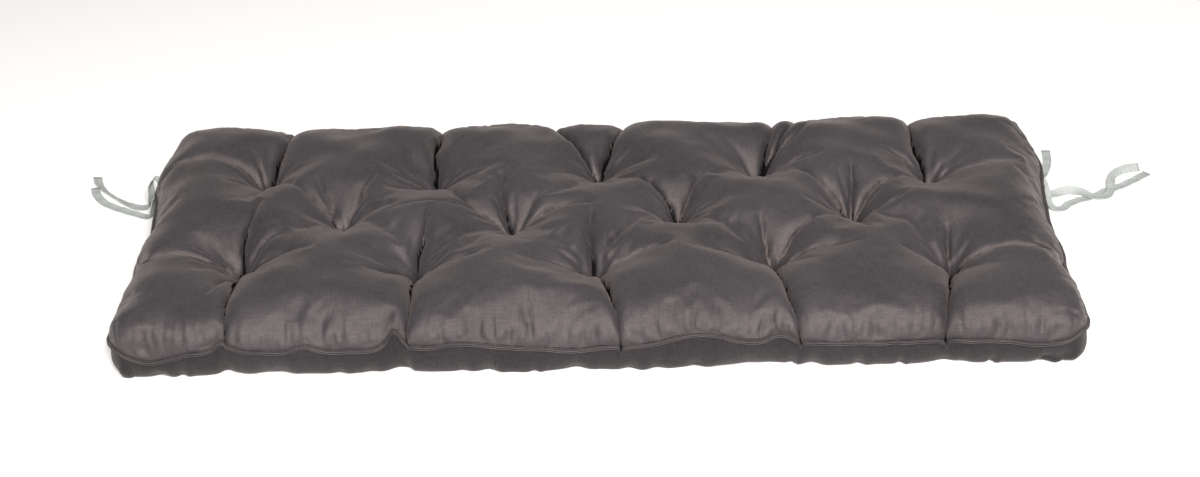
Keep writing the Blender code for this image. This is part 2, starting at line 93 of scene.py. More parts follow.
# Folds: from tuft, heading in degrees from +X, how far out it starts, reach, depth, half width,
# sideways bow, and whether it fades on the panel or runs down to the seam
folds = [
    ("back1", 80, 0.00, 0.15, 0.036, 0.0080, 0.000, "runs"),
    ("back1", -96, 0.00, 0.08, 0.013, 0.0060, 0.000, "fades"),
    ("back1", 176, 0.00, 0.14, 0.008, 0.0080, -0.016, "fades"),
    ("back1", 121, 0.01, 0.06, 0.007, 0.0060, 0.000, "fades"),
    ("back2", 90, 0.00, 0.15, 0.031, 0.0080, 0.005, "runs"),
    ("back2", -62, 0.00, 0.10, 0.006, 0.0080, 0.000, "fades"),
    ("back2", -150, 0.00, 0.06, 0.007, 0.0070, 0.004, "fades"),
    ("back3", 74, 0.00, 0.14, 0.030, 0.0070, 0.000, "runs"),
    ("back3", 118, 0.00, 0.14, 0.016, 0.0070, 0.000, "runs"),
    ("back3", -5, 0.00, 0.08, 0.006, 0.0080, 0.008, "fades"),
    ("back3", -120, 0.00, 0.05, 0.006, 0.0070, 0.000, "fades"),
    ("back4", 78, 0.00, 0.14, 0.026, 0.0070, -0.005, "runs"),
    ("back4", 60, 0.01, 0.13, 0.014, 0.0060, -0.006, "runs"),
    ("back4", 46, 0.01, 0.12, 0.010, 0.0060, -0.006, "fades"),
    ("back4", -5, 0.00, 0.09, 0.010, 0.0070, 0.002, "fades"),
    ("back4", -150, 0.00, 0.05, 0.006, 0.0070, 0.000, "fades"),
    ("back5", 94, 0.00, 0.15, 0.034, 0.0080, 0.006, "runs"),
    ("back5", 154, 0.00, 0.08, 0.008, 0.0070, -0.012, "fades"),
    ("back5", 1, 0.00, 0.13, 0.010, 0.0080, -0.004, "fades"),
    ("back5", -110, 0.00, 0.05, 0.006, 0.0070, 0.000, "fades"),
    ("middle1", 137, 0.00, 0.10, 0.016, 0.0070, 0.000, "fades"),
    ("middle1", 116, 0.03, 0.09, 0.008, 0.0060, 0.006, "fades"),
    ("middle1", 69, 0.00, 0.11, 0.013, 0.0065, -0.004, "fades"),
    ("middle1", -2, 0.00, 0.08, 0.006, 0.0080, 0.012, "fades"),
    ("middle1", -80, 0.00, 0.05, 0.008, 0.0070, 0.000, "fades"),
    ("middle2", 180, 0.01, 0.17, 0.007, 0.0080, -0.022, "fades"),
    ("middle2", 148, 0.00, 0.09, 0.016, 0.0065, 0.006, "fades"),
    ("middle2", 100, 0.00, 0.10, 0.019, 0.0065, 0.005, "fades"),
    ("middle2", 55, 0.01, 0.07, 0.007, 0.0070, 0.000, "fades"),
    ("middle2", 2, 0.00, 0.11, 0.014, 0.0065, 0.016, "fades"),
    ("middle2", -120, 0.00, 0.04, 0.008, 0.0070, 0.000, "fades"),
    ("middle3", 133, 0.00, 0.12, 0.018, 0.0070, -0.014, "fades"),
    ("middle3", 63, 0.00, 0.09, 0.014, 0.0065, 0.003, "fades"),
    ("middle3", -60, 0.00, 0.05, 0.007, 0.0070, 0.000, "fades"),
    ("middle3", 180, 0.00, 0.06, 0.006, 0.0070, 0.006, "fades"),
    ("middle4", 130, 0.00, 0.11, 0.014, 0.0065, 0.000, "fades"),
    ("middle4", 88, 0.00, 0.09, 0.014, 0.0065, 0.000, "fades"),
    ("middle4", 42, 0.01, 0.09, 0.011, 0.0065, 0.007, "fades"),
    ("middle4", 4, 0.00, 0.08, 0.010, 0.0065, -0.010, "fades"),
    ("middle4", -80, 0.00, 0.08, 0.009, 0.0075, 0.000, "fades"),
    ("front1", 84, 0.00, 0.12, 0.022, 0.0065, 0.004, "fades"),
    ("front1", -178, 0.00, 0.14, 0.012, 0.0080, -0.005, "fades"),
    ("front1", 160, 0.00, 0.07, 0.006, 0.0080, 0.000, "fades"),
    ("front1", -88, 0.00, 0.165, 0.022, 0.0070, 0.001, "runs"),
    ("front1", -104, 0.03, 0.11, 0.010, 0.0060, 0.000, "fades"),
    ("front1", -5, 0.00, 0.10, 0.007, 0.0080, 0.009, "fades"),
    ("front2", 82, 0.00, 0.11, 0.020, 0.0065, 0.000, "fades"),
    ("front2", -150, 0.00, 0.07, 0.012, 0.0065, 0.000, "fades"),
    ("front2", -8, 0.00, 0.09, 0.014, 0.0065, -0.002, "fades"),
    ("front2", -88, 0.00, 0.165, 0.026, 0.0065, 0.000, "runs"),
    ("front3", 92, 0.00, 0.10, 0.020, 0.0065, 0.004, "fades"),
    ("front3", -175, 0.00, 0.06, 0.012, 0.0065, 0.000, "fades"),
    ("front3", 6, 0.00, 0.10, 0.014, 0.0065, 0.004, "fades"),
    ("front3", 56, 0.05, 0.10, 0.007, 0.0060, 0.004, "fades"),
    ("front3", -78, 0.00, 0.165, 0.022, 0.0065, 0.003, "runs"),
    ("front4", 103, 0.00, 0.07, 0.013, 0.0065, 0.000, "fades"),
    ("front4", 44, 0.02, 0.10, 0.012, 0.0065, 0.004, "fades"),
    ("front4", -6, 0.00, 0.11, 0.012, 0.0070, 0.004, "fades"),
    ("front4", -168, 0.00, 0.08, 0.011, 0.0070, 0.000, "fades"),
    ("front4", -82, 0.00, 0.17, 0.028, 0.0070, -0.003, "runs"),
    ("front5", 178, 0.00, 0.07, 0.010, 0.0070, 0.003, "fades"),
    ("front5", 90, 0.02, 0.06, 0.012, 0.0065, 0.000, "fades"),
    ("front5", -5, 0.00, 0.13, 0.013, 0.0070, 0.008, "fades"),
    ("front5", -101, 0.00, 0.165, 0.022, 0.0070, 0.000, "runs"),
    ("front5", -82, 0.02, 0.05, 0.007, 0.0060, 0.000, "fades"),
]

# Puffs that stand taller or lie lower: x, y, height added, reach
puffs = [
    (-0.530, 0.165, 0.010, 0.060),
    (-0.330, 0.150, -0.006, 0.080),
    (-0.120, 0.150, -0.008, 0.080),
    (0.300, 0.160, 0.006, 0.060),
    (0.560, 0.150, -0.004, 0.060),
    (-0.350, -0.170, 0.004, 0.070),
    (-0.110, -0.180, 0.002, 0.080),
    (0.120, -0.170, 0.006, 0.070),
    (0.340, -0.175, -0.004, 0.070),
    (0.220, 0.010, 0.005, 0.060),
]

# Seam: side, place along it, how far it is pulled in, how far it rises, half width.
# Below zero it is tugged out, where the tapes are sewn into it.
seamPleats = [
    ("front", -0.590, 0.000, 0.008, 0.014),
    ("front", -0.540, 0.000, -0.012, 0.030),
    ("front", -0.452, 0.006, 0.023, 0.0080),
    ("front", -0.352, 0.000, 0.010, 0.016),
    ("front", -0.243, 0.009, 0.032, 0.0085),
    ("front", -0.160, 0.000, 0.009, 0.045),
    ("front", -0.030, 0.004, -0.007, 0.030),
    ("front", 0.125, 0.000, 0.018, 0.045),
    ("front", 0.222, 0.006, 0.010, 0.018),
    ("front", 0.421, 0.007, -0.008, 0.008),
    ("front", 0.535, 0.000, -0.008, 0.030),
    ("front", 0.592, 0.000, 0.011, 0.014),
    ("back", -0.436, 0.008, 0.008, 0.016),
    ("back", -0.330, 0.003, -0.004, 0.040),
    ("back", -0.220, 0.007, 0.006, 0.014),
    ("back", -0.015, 0.010, 0.010, 0.024),
    ("back", 0.110, 0.002, -0.004, 0.040),
    ("back", 0.243, 0.007, 0.008, 0.020),
    ("back", 0.437, 0.008, 0.006, 0.014),
    ("left", 0.136, -0.0092, 0.002, 0.030),
    ("left", 0.010, 0.004, -0.005, 0.030),
    ("left", -0.100, 0.006, 0.005, 0.018),
    ("right", 0.158, -0.0112, 0.000, 0.048),
    ("right", 0.000, 0.003, -0.004, 0.030),
    ("right", -0.115, 0.007, 0.006, 0.020),
]
seamDraw = {
    "pull": 0.050,          # how far into the panel a pull carries
    "rise": 0.018,          # and a rise
    "pullSpread": 0.012,    # a pull is this much wider than its rise
    "sharpUnder": 0.0125,   # a rise narrower than this comes to a point
}

# Bottom tucked further under the seam, or less: side, place, added inset, half width
footTucks = [
    ("front", -0.450, 0.014, 0.010),
    ("front", -0.395, 0.012, 0.025),
    ("front", -0.240, 0.012, 0.012),
    ("front", -0.080, -0.010, 0.040),
    ("front", 0.040, -0.006, 0.040),
    ("front", 0.190, 0.018, 0.035),
    ("front", 0.262, 0.014, 0.008),
    ("front", 0.446, 0.015, 0.008),
    ("back", -0.436, 0.014, 0.014),
    ("back", -0.015, 0.016, 0.020),
    ("back", 0.243, 0.014, 0.016),
    ("left", 0.110, 0.012, 0.016),
    ("left", -0.100, 0.012, 0.016),
    ("right", 0.100, 0.012, 0.016),
    ("right", -0.110, 0.012, 0.016),
]
dimple = {"reach": 0.032, "height": 0.012}   # under each tuft
inwardSteps = {"front": (0, 1), "back": (0, -1), "left": (1, 0), "right": (-1, 0)}


def bell(offset, reach):
    return np.exp(-((offset / reach) ** 2))


def cusp(offset, reach):
    return np.exp(-np.abs(offset) / reach)


def alongAndAway(side, x, y):
    if side in ("front", "back"):
        return x, body["halfDepth"] + (y if side == "front" else -y)
    return y, body["halfLength"] + (x if side == "left" else -x)


def roundCorners(x, y):
    # the square corners of the grid bent to arcs
    radius = body["cornerRadius"]
    cornerX, cornerY = body["halfLength"] - radius, body["halfDepth"] - radius
    overX, overY = (np.abs(x) - cornerX) / radius, (np.abs(y) - cornerY) / radius
    inCorner = (overX > 0) & (overY > 0)
    a, b = np.where(inCorner, overX, 0.0), np.where(inCorner, overY, 0.0)
    bentX = np.sign(x) * (cornerX + radius * a * np.sqrt(1 - b * b / 2))
    bentY = np.sign(y) * (cornerY + radius * b * np.sqrt(1 - a * a / 2))
    return np.where(inCorner, bentX, x), np.where(inCorner, bentY, y)


def seamDistance(x, y):
    radius = body["cornerRadius"]
    overX = np.abs(x) - (body["halfLength"] - radius)
    overY = np.abs(y) - (body["halfDepth"] - radius)
    straight = radius - np.maximum(overX, overY)
    arc = radius - np.hypot(overX, overY)
    return np.maximum(np.where((overX > 0) & (overY > 0), arc, straight), 0.0)


def drawnIn(x, y):
    # the plan pulled in at both ends, and at each pleat of the seam
    newX, newY = x.copy(), y.copy()
    fromEnd = body["halfLength"] - np.abs(x)
    newX -= np.sign(x) * body["endDraw"] * np.exp(-fromEnd / seamDraw["pull"])
    for side, place, pull, _, reach in seamPleats:
        along, away = alongAndAway(side, x, y)
        spread = reach + seamDraw["pullSpread"]
        step = pull * bell(along - place, spread) * np.exp(-away / seamDraw["pull"])
        newX += inwardSteps[side][0] * step
        newY += inwardSteps[side][1] * step
    return newX, newY


def seamHeight(x, y):
    height = np.full_like(x, body["seamHeight"])
    for side, place, _, rise, reach in seamPleats:
        along, away = alongAndAway(side, x, y)
        shape = cusp if reach < seamDraw["sharpUnder"] else bell
        height += rise * shape(along - place, reach) * np.exp(-away / seamDraw["rise"])
    return height


def roundedEdge(distance, reach):
    t = np.clip(1 - distance / reach, 0, 1)
    return np.sqrt(1 - t * t)


def foldLine(x, y, row):
    # each point's place on one fold: how far to its side, how far past its end, and its strength there
    start, heading, begins, reach, _, _, bow, ending = row
    tuftX, tuftY = tufts[start][:2]
    cosH, sinH = math.cos(math.radians(heading)), math.sin(math.radians(heading))
    forward = (x - tuftX) * cosH + (y - tuftY) * sinH
    share = np.clip((forward - begins) / (reach - begins), 0, 1)
    along = np.clip(forward / reach, 0, 1)
    sideways = (y - tuftY) * cosH - (x - tuftX) * sinH - 4 * bow * along * (1 - along)
    pastEnd = np.maximum(np.maximum(begins - forward, forward - reach), 0)
    strength = (1 - share) ** 0.7 if ending == "fades" else 1 - 0.3 * share
    return sideways, pastEnd, strength


def puffedInto(offset, reach):
    # two round shoulders that meet in a line: 1 on the line, 0 at the reach
    t = np.clip(1 - np.abs(offset) / reach, 0, 1)
    return 1 - np.sqrt(1 - t * t)


def foldShape(x, y, row):
    sideways, pastEnd, strength = foldLine(x, y, row)
    away = np.hypot(sideways, pastEnd * 1.5)
    return row[4] * strength * puffedInto(away, row[5] * hollows["foldWidths"])


def topHeight(x, y, distance):
    seam = seamHeight(x, y)
    crown = np.full_like(x, body["crownHeight"])
    for puffX, puffY, rise, reach in puffs:
        crown += rise * bell(np.hypot(x - puffX, y - puffY), reach)
    hollow = np.zeros_like(x)
    for tuftX, tuftY, depth in tufts.values():
        away = np.hypot(x - tuftX, y - tuftY)
        pit = (1 - hollows["coneShare"]) * puffedInto(away, hollows["tuftReach"])
        pit += hollows["coneShare"] * cusp(away, hollows["pitReach"])
        hollow = np.maximum(hollow, depth * pit)
    deepest = np.max([foldShape(x, y, row) for row in folds], axis=0)
    hollow += deepest * (1 - hollow / hollows["fullPit"])
    return seam + (crown - seam - hollow) * roundedEdge(distance, body["shoulder"])


def bottomHeight(x, y, distance):
    inset = np.full_like(x, body["footInset"])
    for side, place, tuck, reach in footTucks:
        along, away = alongAndAway(side, x, y)
        inset += tuck * bell(along - place, reach) * np.exp(-away / seamDraw["pull"])
    height = seamHeight(x, y) * (1 - roundedEdge(distance, inset))
    for tuftX, tuftY, _ in tufts.values():
        away = np.hypot(x - tuftX, y - tuftY) / dimple["reach"]
        height += dimple["height"] * np.clip(1 - away**2, 0, 1) ** 2
    return height


def panelLines(half, reach, count, total):
    # places of the grid lines: even along the curve of the edge, then even across the middle
    angle = np.linspace(0, math.pi / 2, count + 1)[:-1]
    edge = reach * (1 - np.cos(angle))
    middle = np.linspace(reach, 2 * half - reach, total - 2 * count)
    return np.concatenate([edge, middle, 2 * half - edge[::-1]]) - half


def setPoints(piece, points):
    piece.data.vertices.foreach_set("co", np.ascontiguousarray(points, np.float32).ravel())
    piece.data.update()


def getPoints(piece):
    points = np.zeros(len(piece.data.vertices) * 3, np.float32)
    piece.data.vertices.foreach_get("co", points)
    return points.reshape(-1, 3).astype(float)


def getPlan(piece):
    # x, y on the flat plan, and 0 for the top panel or 1 for the bottom one
    plan = np.zeros(len(piece.data.vertices) * 3, np.float32)
    piece.data.attributes["plan"].data.foreach_get("vector", plan)
    return plan.reshape(-1, 3).astype(float).T


def addVectors(piece, name, values):
    attribute = piece.data.attributes.new(name, "FLOAT_VECTOR", "POINT")
    attribute.data.foreach_set("vector", np.array(values, np.float32).ravel())


def addValues(piece, name, values):
    attribute = piece.data.attributes.new(name, "FLOAT", "POINT")
    attribute.data.foreach_set("value", np.array(values, np.float32))


def applyModifiers(piece):
    bpy.ops.object.select_all(action="DESELECT")
    piece.select_set(True)
    bpy.context.view_layer.objects.active = piece
    for modifier in list(piece.modifiers):
        bpy.ops.object.modifier_apply(modifier=modifier.name)


def addPanel(name, countX, countY):
    # a flat grid from the Add menu, whose points run along X first, row by row
    bpy.ops.mesh.primitive_grid_add(x_subdivisions=countX - 1, y_subdivisions=countY - 1, size=1)
    panel = bpy.context.object
    panel.name = name
    return panel


settling = {
    "slack": 0.030,         # extra cloth, as a share of the panel's shape
    "frames": 20,
    "farthestMove": 0.016,
    "sewnReach": 0.004,     # the stitch at a tuft holds the points this near
    "cloth": {
        "quality": 5,
        "mass": 0.20,
        "air_damping": 2.0,
        "tension_stiffness": 20,
        "compression_stiffness": 20,
        "shear_stiffness": 6,
        "bending_stiffness": 1.0,
        "tension_damping": 8,
        "compression_damping": 8,
        "shear_damping": 5,
        "bending_damping": 1,
        "use_pressure": True,
        "uniform_pressure_force": 3.0,
    },
}


def settleTop(panel, pinned):
    # the cloth solver lets the slack top panel settle between its seam and its tufts
    start = getPoints(panel)
    group = panel.vertex_groups.new(name="sewn")
    group.add([int(k) for k in np.flatnonzero(pinned)], 1.0, "REPLACE")
    solver = panel.modifiers.new("Cloth", "CLOTH")
    for name, value in settling["cloth"].items():
        setattr(solver.settings, name, value)
    solver.settings.effector_weights.gravity = 0
    solver.settings.vertex_group_mass = "sewn"
    solver.settings.shrink_min = -settling["slack"]
    solver.collision_settings.use_collision = False
    solver.collision_settings.use_self_collision = False
    solver.point_cache.frame_start = 1
    solver.point_cache.frame_end = settling["frames"]
    for step in range(1, settling["frames"] + 1):
        scene.frame_set(step)
    shown = panel.evaluated_get(bpy.context.evaluated_depsgraph_get())
    settled = np.array([v.co for v in shown.data.vertices], float)
    panel.modifiers.remove(solver)
    panel.vertex_groups.clear()
    scene.frame_set(1)
    move = settled - start
    length = np.linalg.norm(move, axis=1, keepdims=True)
    move *= np.minimum(1, settling["farthestMove"] / np.maximum(length, 1e-9))
    print("top panel settled, largest move", round(float(length.max()), 4))
    return start + move


def layPanels():
    # two grids with the same rows and columns, so that one seam joins them point by point
    across = body["cellsAcrossShoulder"]
    middleX = 2 * (body["halfLength"] - body["shoulder"])
    middleY = 2 * (body["halfDepth"] - body["shoulder"])
    countX = round(middleX / body["cell"]) + 2 * across
    countY = round(middleY / body["cell"]) + 2 * across
    panels = {}
    for name, reach, count in (
        ("top", body["shoulder"], across),
        ("bottom", body["footInset"], body["cellsAcrossFoot"]),
    ):
        linesX = panelLines(body["halfLength"], reach, count, countX)
        linesY = panelLines(body["halfDepth"], reach, count, countY)
        gridX, gridY = np.meshgrid(linesX, linesY)
        x, y = roundCorners(gridX.ravel(), gridY.ravel())
        panels[name] = {"x": x, "y": y, "away": seamDistance(x, y)}
    # both panels share the points of the seam, so the bottom's border follows the top's
    column, row = np.meshgrid(np.arange(countX), np.arange(countY))
    border = (column == 0) | (column == countX - 1) | (row == 0) | (row == countY - 1)
    border = border.ravel()
    for key in ("x", "y", "away"):
        panels["bottom"][key][border] = panels["top"][key][border]
    for tuftX, tuftY, _ in tufts.values():
        near = np.argmin(np.hypot(panels["top"]["x"] - tuftX, panels["top"]["y"] - tuftY))
        panels["top"]["x"][near], panels["top"]["y"][near] = tuftX, tuftY

    x, y, away = (panels["top"][key] for key in ("x", "y", "away"))
    placeX, placeY = drawnIn(x, y)
    top = addPanel("cushionTop", countX, countY)
    setPoints(top, np.stack([placeX, placeY, topHeight(x, y, away)], axis=1))
    toTuft = np.min([np.hypot(x - tuftX, y - tuftY) for tuftX, tuftY, _ in tufts.values()], axis=0)
    setPoints(top, settleTop(top, border | (toTuft < settling["sewnReach"])))

    x, y, away = (panels["bottom"][key] for key in ("x", "y", "away"))
    placeX, placeY = drawnIn(x, y)
    bottom = addPanel("cushionBottom", countX, countY)
    setPoints(bottom, np.stack([placeX, placeY, bottomHeight(x, y, away)], axis=1))
    bottomPoints = getPoints(bottom)
    bottomPoints[border] = getPoints(top)[border]
    setPoints(bottom, bottomPoints)
    bottom.data.flip_normals()
    print("panels laid", countX, countY)
    return top, bottom, panels, (countX, countY)


def sewPanels(top, bottom, panels, counts):
    # each point keeps its place on the flat plan, which panel it belongs to, and its place in the weave
    column, row = np.meshgrid(np.arange(counts[0]), np.arange(counts[1]))
    threads = np.stack([column.ravel(), row.ravel(), np.zeros(column.size)], axis=1) * body["cell"]
    for piece, name in ((top, "top"), (bottom, "bottom")):
        x, y = panels[name]["x"], panels[name]["y"]
        addVectors(piece, "plan", np.stack([x, y, np.full(len(x), name == "bottom")], axis=1))
        addVectors(piece, "weave", threads)
    bpy.ops.object.select_all(action="DESELECT")
    top.select_set(True)
    bottom.select_set(True)
    bpy.context.view_layer.objects.active = top
    bpy.ops.object.join()
    cushion = bpy.context.object
    cushion.name = "cushionBody"
    bpy.ops.object.mode_set(mode="EDIT")
    bpy.ops.mesh.select_all(action="SELECT")
    bpy.ops.mesh.remove_doubles(threshold=body["weld"])
    bpy.ops.object.mode_set(mode="OBJECT")
    finer = cushion.modifiers.new("finer", "SUBSURF")
    finer.levels = finer.render_levels = 1
    applyModifiers(cushion)
    bpy.ops.object.shade_smooth()
    print("body sewn,", len(cushion.data.vertices), "points")
    return cushion


clefts = {
    "deepest": 0.0170,      # cut of the strongest fold under its valley
    "width": 0.0030,
    "gather": 0.90,         # how far its two sides are drawn together
    "gatherWidth": 0.0060,
    "fullFold": 0.022,      # a fold this deep gets the whole cleft
    "darkWidth": 0.0050,    # cloth this near the line gets painted shade, where it would touch the other side
    "darkPit": 0.0045,      # and so does cloth this near a tuft
    "darkShare": 0.55,      # faces past this take the darkest copy of the cloth, painted shade
    "fade": 0.008,          # past the end of a fold
    "waver": 0.0011,
    "waverTurns": (96, 231),
}
tuftWrinkles = {
    "count": (8, 13),
    "depth": (0.0012, 0.0040),
    "width": (0.0028, 0.0060),
    "reach": (0.030, 0.075),
    "clear": 0.006,         # plain cloth right at the tuft
}
seamGathers = {
    "spacing": (0.007, 0.021),
    "depth": (0.0007, 0.0026),
    "width": (0.0024, 0.0044),
    "reach": (0.007, 0.023),
    "lean": 0.30,
    "clear": 0.004,         # plain cloth right at the seam
}
sidePuckers = {
    "spacing": (0.018, 0.070),
    "depth": (0.0010, 0.0048),
    "width": (0.0040, 0.0110),
    "lean": 0.20,
    "clear": 0.010,
}
swell = {
    "roll": 0.0040,         # the top panel rolls out over the long seams
    "endRoll": 0.0090,      # and the bottom panel under the short ones
    "rollReach": 0.009,
    "clearOfEnds": 0.06,
    "endBand": 0.030,
    "height": 0.0012,
    "waves": 26,
    "length": (0.045, 0.140),
    "flatAtSeam": 0.02,
}
besideSeam = 0.06           # gathers and puckers are looked for this near a side
random = np.random.default_rng(41)


def pressClefts(x, y, points, onTop):
    # the cloth turns down into each fold, and the two sides of the fold are drawn together
    # closed marks painted shade: the colour is darkened along the fold lines and round the tuft pits
    closed = np.zeros_like(x)
    for number, row in enumerate(folds):
        sideways, pastEnd, strength = foldLine(x, y, row)
        full = min(1.0, (row[4] / clefts["fullFold"]) ** 0.8)
        slow, fast = clefts["waverTurns"]
        waver = np.sin((x + y) * slow + number * 2.1) + 0.6 * np.sin((x - y) * fast + number)
        sideways = sideways + clefts["waver"] * waver
        strength = strength * full * bell(pastEnd, clefts["fade"]) * onTop
        points[:, 2] -= clefts["deepest"] * strength * cusp(sideways, clefts["width"])
        drawn = sideways * clefts["gather"] * strength * bell(sideways, clefts["gatherWidth"])
        heading = math.radians(row[1])
        points[:, 0] += math.sin(heading) * drawn
        points[:, 1] -= math.cos(heading) * drawn
        closed = np.maximum(closed, strength * bell(sideways, clefts["darkWidth"]))
    for tuftX, tuftY, _ in tufts.values():
        closed = np.maximum(closed, onTop * bell(np.hypot(x - tuftX, y - tuftY), clefts["darkPit"]))
    return closed


def pick(row, *keys):
    # one random number from the range under each key
    return (random.uniform(*row[key]) for key in keys)


def dent(offset, side, sideWidth, share):
    # a furrow with a low ridge on one side of it
    return bell(offset, 1) - share * bell(offset - side, sideWidth)


def wrinkleTufts(x, y, inward, onTop):
    # fine radial wrinkles, uneven in size, that gather the cloth to each tuft
    for tuftX, tuftY, _ in tufts.values():
        away = np.hypot(x - tuftX, y - tuftY)
        near = np.flatnonzero((away < tuftWrinkles["reach"][1]) & (onTop > 0.5))
        around = np.arctan2(y[near] - tuftY, x[near] - tuftX)
        count = random.integers(*tuftWrinkles["count"])
        for k in range(count):
            angle = 2 * math.pi * (k + random.uniform(-0.35, 0.35)) / count
            depth, width, reach = pick(tuftWrinkles, "depth", "width", "reach")
            turn = np.angle(np.exp(1j * (around - angle)))
            offset = away[near] * np.sin(turn) / width
            ahead = np.clip(np.cos(turn) * 4, 0, 1) * np.clip(away[near] / tuftWrinkles["clear"], 0, 1)
            fade = np.clip(1 - away[near] / reach, 0, 1) ** 0.6
            inward[near] += depth * fade * ahead * dent(offset, 2.0, 1.1, 0.35)


def spaced(low, high, spacing):
    place = low + random.uniform(0, spacing[1])
    while place < high:
        yield place
        place += random.uniform(*spacing)


def gatherSeam(x, y, away, inward, onTop):
    # the top panel gathered into the seam, and the side under the seam puckered
    for side in ("front", "back", "left", "right"):
        half = body["halfLength"] if side in ("front", "back") else body["halfDepth"]
        along, fromSide = alongAndAway(side, x, y)
        atSide = fromSide < besideSeam
        for place in spaced(-half, half, seamGathers["spacing"]):
            depth, width, reach = pick(seamGathers, "depth", "width", "reach")
            near = np.flatnonzero(atSide & (np.abs(along - place) < 5 * width) & (onTop > 0.5))
            lean = random.uniform(-1, 1) * seamGathers["lean"]
            offset = (along[near] - place - lean * away[near]) / width
            fade = np.clip(away[near] / seamGathers["clear"], 0, 1) * bell(away[near], reach)
            inward[near] += depth * fade * dent(offset, 1.9, 1.0, 0.5)
        for place in spaced(-half, half, sidePuckers["spacing"]):
            depth, width = pick(sidePuckers, "depth", "width")
            lean = random.uniform(-1, 1) * sidePuckers["lean"]
            near = np.flatnonzero(atSide & (np.abs(along - place) < 5 * width) & (onTop < 0.5))
            offset = (along[near] - place - lean * away[near]) / width
            fade = np.clip(away[near] / sidePuckers["clear"], 0, 1)
            fade *= np.clip(1.4 - away[near] / body["footInset"], 0, 1)
            inward[near] += depth * fade * dent(offset, 1.7, 0.9, 0.4)


def swellOver(x, y, away, inward, onTop):
    # low uneven swells of the filling under the cloth, which also rolls out beside the seam
    roll = away / swell["rollReach"]
    roll = roll * np.exp(1 - roll)
    fromEnd = body["halfLength"] - np.abs(x)
    inward -= swell["roll"] * roll * onTop * np.clip(fromEnd / swell["clearOfEnds"], 0, 1)
    atEnds = np.clip((swell["endBand"] - fromEnd) / 0.010, 0, 1) * (1 - onTop)
    inward -= swell["endRoll"] * roll * atEnds
    waves = np.zeros_like(x)
    for _ in range(swell["waves"]):
        length, turn, phase = random.uniform(*swell["length"]), *random.uniform(0, 2 * math.pi, 2)
        waves += np.sin((x * math.cos(turn) + y * math.sin(turn)) * 2 * math.pi / length + phase)
    waves *= swell["height"] / math.sqrt(swell["waves"] / 2)
    inward += waves * np.clip(away / swell["flatAtSeam"], 0, 1) * onTop


def addDetail(cushion):
    x, y, under = getPlan(cushion)
    normals = np.zeros(len(x) * 3, np.float32)
    cushion.data.vertex_normals.foreach_get("vector", normals)
    onTop = 1 - under
    away = seamDistance(x, y)
    points = getPoints(cushion)
    inward = np.zeros(len(x))
    wrinkleTufts(x, y, inward, onTop)
    gatherSeam(x, y, away, inward, onTop)
    swellOver(x, y, away, inward, onTop)
    points -= normals.reshape(-1, 3) * inward[:, None]
    closed = pressClefts(x, y, points, onTop)
    points[:, 2] = np.maximum(points[:, 2], 0)
    # the painted shade mask, which darkens the cloth's colour in clefts and pits
    addValues(cushion, "paintedShade", closed)
    setPoints(cushion, points)
    print("detail pressed in")
    return closed


satin = {
    "shadowTone": (0.010, 0.010, 0.013),
    "litTone": (0.050, 0.047, 0.055),
    # painted shade in closed folds, tuft pits and the welt's groove
    "paintedShadeTone": (0.004, 0.004, 0.005),
    "threadPitch": 0.0007,
    "slubLength": 0.0140,
    "slubWidth": 0.0022,
    "grain": 0.0015,
    "patch": 0.16,
    "grainRange": (0.36, 0.64),   # of the grain value, spread over the tones and the gloss
    "roughness": (0.56, 0.36),
    "glossTint": (1.0, 0.86, 0.80, 1),
    "sheenTint": (1.0, 0.88, 0.82, 1),
    "sheenRoughness": 0.45,
    "bump": (0.8, 0.0006),
}
# Cloth and its shaded copies: share of the cloth's tones, specular level, sheen. The side and fold
# copies are darker and less glossy as painted shade.
clothAndShadedCopies = {
    "topCloth": (1.0, 0.60, 0.10),
    "shadedSideCloth": (0.50, 0.20, 0.03),
    "shadedFoldCloth": (0.25, 0.04, 0.0),
}


def link(tree, start, startSocket, end, endSocket):
    tree.links.new(start.outputs[startSocket], end.inputs[endSocket])


def addMath(tree, operation, first, second):
    # a Math node whose inputs are numbers, or (node, socket) pairs
    node = tree.nodes.new("ShaderNodeMath")
    node.operation = operation
    for slot, value in enumerate((first, second)):
        if isinstance(value, tuple):
            link(tree, value[0], value[1], node, slot)
        else:
            node.inputs[slot].default_value = value
    return node


def addNoise(tree, source, scale, detail=2.0, roughness=0.5):
    # noise stretched by the three numbers of the scale
    spread = tree.nodes.new("ShaderNodeMapping")
    spread.inputs["Scale"].default_value = scale
    link(tree, source[0], source[1], spread, "Vector")
    noise = tree.nodes.new("ShaderNodeTexNoise")
    noise.inputs["Scale"].default_value = 1.0
    noise.inputs["Detail"].default_value = detail
    noise.inputs["Roughness"].default_value = roughness
    link(tree, spread, "Vector", noise, "Vector")
    return noise


